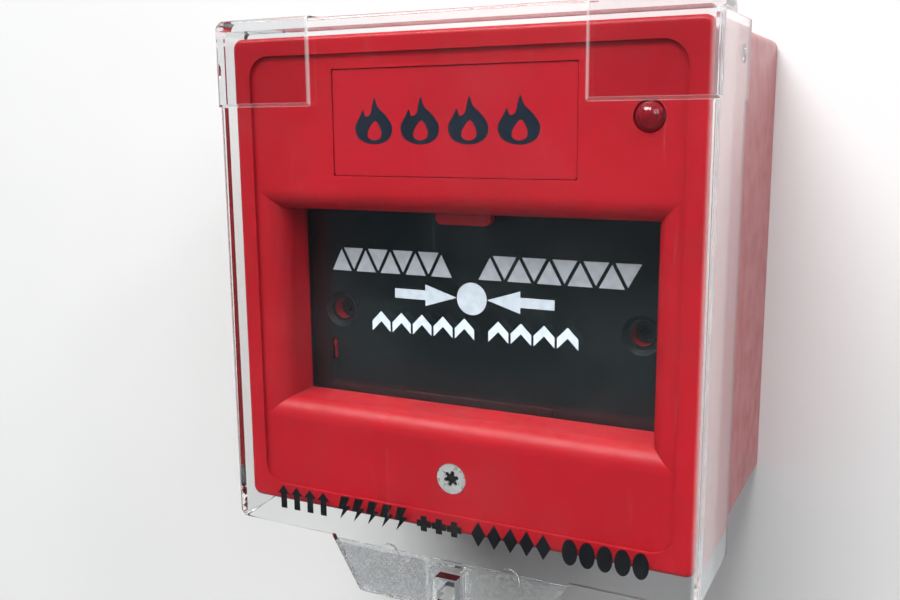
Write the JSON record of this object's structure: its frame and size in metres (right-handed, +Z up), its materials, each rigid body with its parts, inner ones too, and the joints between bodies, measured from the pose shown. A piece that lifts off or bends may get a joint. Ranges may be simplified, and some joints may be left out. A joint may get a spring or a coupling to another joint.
{
  "type": "manual alarm call point",
  "caption": "Square red wall-mounted alarm call point: breakable glass window, indicator lamp, screwed front frame, deep back box and a hinged clear lift-up cover with finger tab.",
  "frame": {"origin": "centre of the back face of the box, on the wall plane", "axes": "+Z up, +Y into the wall (the front faces -Y), +X to the right seen from the front"},
  "size_m": [0.0906, 0.0586, 0.1038],
  "materials": {
    "red_plastic": "fine moulded texture, semi-gloss",
    "label_red": "smooth satin",
    "clear_plastic": "clear polycarbonate, polished",
    "glass": "polished, ground edges",
    "printed_film": "clear film with silver print",
    "black_plastic": "satin moulded",
    "zinc_steel": "bright zinc plate",
    "spring_steel": "drawn wire",
    "brass": "machined",
    "board_green": "solder resist",
    "terminal_green": "moulded",
    "resistor": "lacquered with colour bands",
    "led_red": "clear red dome",
    "tinned": "tinned copper",
    "rubber": "matt",
    "plunger_white": "natural acetal"
  },
  "bodies": {
    "housing": {"back_box": "red_plastic", "board_screws": "zinc_steel", "box_inserts": "brass", "cable_grommet": "rubber", "chassis_plate": "black_plastic", "chassis_screws": "zinc_steel", "circuit_board": "board_green", "earth_screw": "zinc_steel", "earth_terminal": "brass", "frame_insert": "brass", "frame_screw": "zinc_steel", "front_frame": "red_plastic", "label_plate": "label_red", "led_leads": "tinned", "led_lens": "led_red", "led_spacer": "black_plastic", "resistors": "resistor", "rocker_pin": "zinc_steel", "rocker_spring": "spring_steel", "screw_bushes": "red_plastic", "switch_body": "black_plastic", "switch_pins": "tinned", "switch_screws": "zinc_steel", "terminal_block": "terminal_green", "terminal_clamps": "brass", "terminal_screws": "zinc_steel"},
    "cover": {"clear_cover": "clear_plastic"},
    "pane": {"glass_pane": "glass", "pane_film": "printed_film", "pane_cradle": "black_plastic"},
    "rocker": {"test_rocker": "plunger_white"},
    "plunger": {"switch_plunger": "plunger_white"}
  },
  "joints": [
    {"name": "cover_hinge", "type": "hinge", "parent": "housing", "child": "cover", "pos_m": [0, -0.0415, 0.0385], "axis": [-1, 0, 0], "range_deg": [0, 105]},
    {"name": "pane_drop", "type": "slide", "parent": "housing", "child": "pane", "axis": [0, 0, -1], "range_m": [0, 0.0025], "stiffness_N_per_m": 200, "springref_m": -0.002},
    {"name": "rocker_tilt", "type": "hinge", "parent": "housing", "child": "rocker", "pos_m": [0.02, -0.0438, -0.0318], "axis": [0, -1, 0], "range_deg": [0, 13.5], "deforming": ["rocker_spring"]},
    {"name": "plunger_travel", "type": "slide", "parent": "housing", "child": "plunger", "axis": [0, 0, -1], "range_m": [0, 0.0025]}
  ],
  "couplings": [
    {"joint": "rocker_tilt", "follows": "pane_drop", "rad_per_m": 93.4},
    {"joint": "plunger_travel", "follows": "pane_drop", "ratio": 1}
  ]
}
